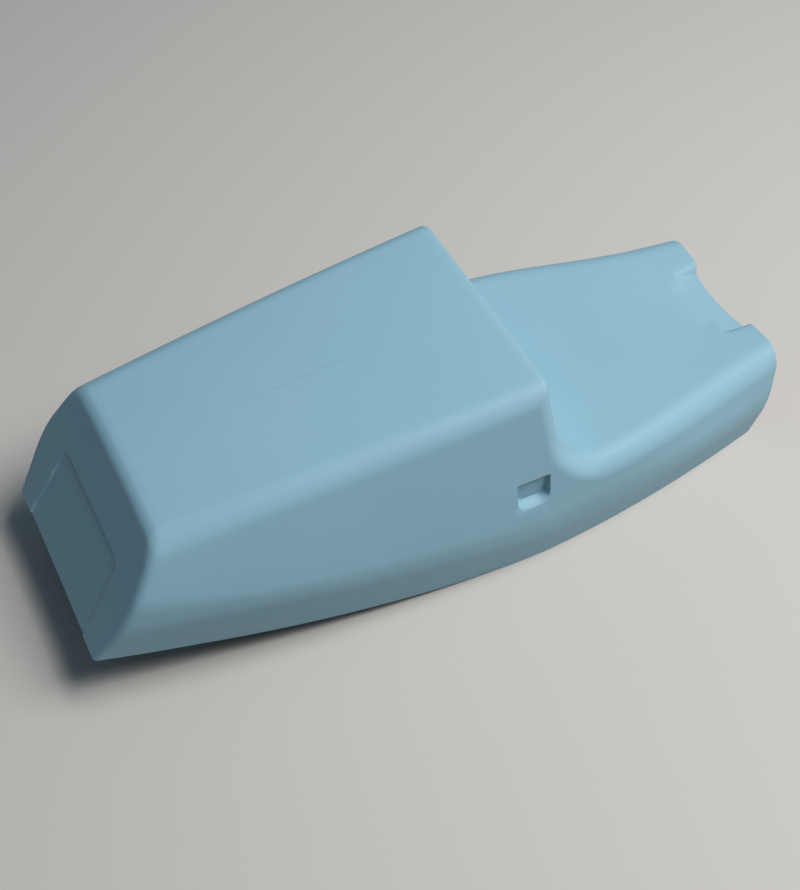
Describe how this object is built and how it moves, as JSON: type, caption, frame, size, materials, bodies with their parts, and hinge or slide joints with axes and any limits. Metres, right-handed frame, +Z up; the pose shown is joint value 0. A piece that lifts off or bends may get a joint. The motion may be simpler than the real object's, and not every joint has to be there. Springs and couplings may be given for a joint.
{
  "type": "motorcycle tail fairing",
  "caption": "One-piece moulded tail fairing with a boxy rear hump, a dished seat pan ahead of it, sloping rear panel and an open underside.",
  "frame": {"origin": "middle of the length and width, at the level of the lower edge", "axes": "+X forward towards the seat nose, +Y to the rider's left, +Z up"},
  "size_m": [0.72, 0.3004, 0.2182],
  "materials": {
    "gelcoat": "satin grey-blue gel coat over glass laminate"
  },
  "bodies": {
    "root": {"tail_shell": "gelcoat"}
  },
  "joints": []
}
